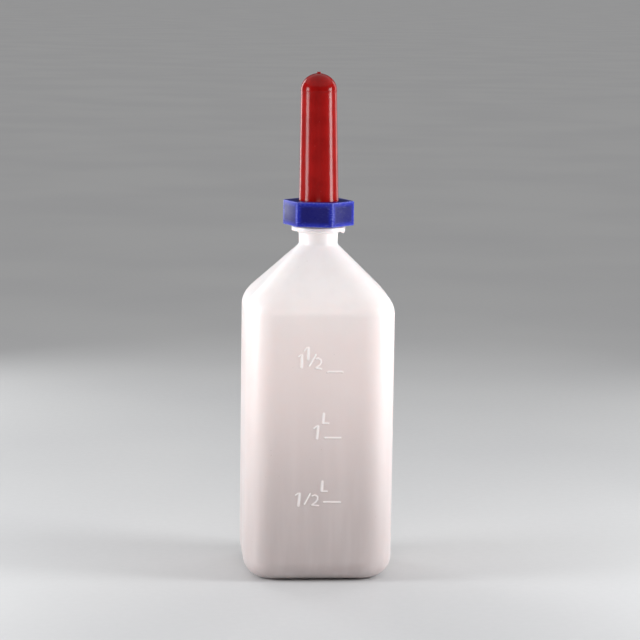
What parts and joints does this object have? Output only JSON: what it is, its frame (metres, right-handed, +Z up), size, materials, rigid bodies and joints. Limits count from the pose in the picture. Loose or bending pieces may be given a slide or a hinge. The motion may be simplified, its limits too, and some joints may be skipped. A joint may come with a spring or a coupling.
{
  "type": "calf feeding bottle",
  "caption": "Square-sided translucent white bottle with a sloped shoulder, raised level marks, a hexagonal screw collar and a long rubber teat with a ball valve in its base.",
  "frame": {"origin": "centre of the bottle's base, on the surface that it stands on", "axes": "+Z up along the bottle's axis towards the teat's tip; -Y is the front, with the level marks; +X to the right seen from the front"},
  "size_m": [0.11, 0.1044, 0.3705],
  "materials": {
    "bottle": "translucent white polyethylene, satin",
    "collar": "royal blue moulded plastic, slightly hazy gloss",
    "teat": "deep red rubber, glossy",
    "gasket": "milky silicone",
    "valve": "natural polypropylene",
    "ball": "polished stainless steel"
  },
  "bodies": {
    "bottle": {"bottle": "bottle"},
    "teat": {"teat": "teat", "valve_seat": "valve", "valve_cage": "valve", "rim_gasket": "gasket", "vent_duckbill": "gasket"},
    "collar": {"screw_collar": "collar"},
    "valve_ball": {"valve_ball": "ball"}
  },
  "joints": [
    {"name": "cap_lift", "type": "slide", "parent": "bottle", "child": "teat", "axis": [0, 0, 1], "range_m": [0, 0.0096]},
    {"name": "collar_turn", "type": "hinge", "parent": "teat", "child": "collar", "pos_m": [0, 0, 0.26725], "axis": [0, 0, 1], "range_deg": [0, 1080]},
    {"name": "ball_lift", "type": "slide", "parent": "teat", "child": "valve_ball", "axis": [0, 0, 1], "range_m": [0, 0.003]}
  ],
  "couplings": [
    {"joint": "cap_lift", "follows": "collar_turn", "m_per_rad": 0.0005093}
  ]
}
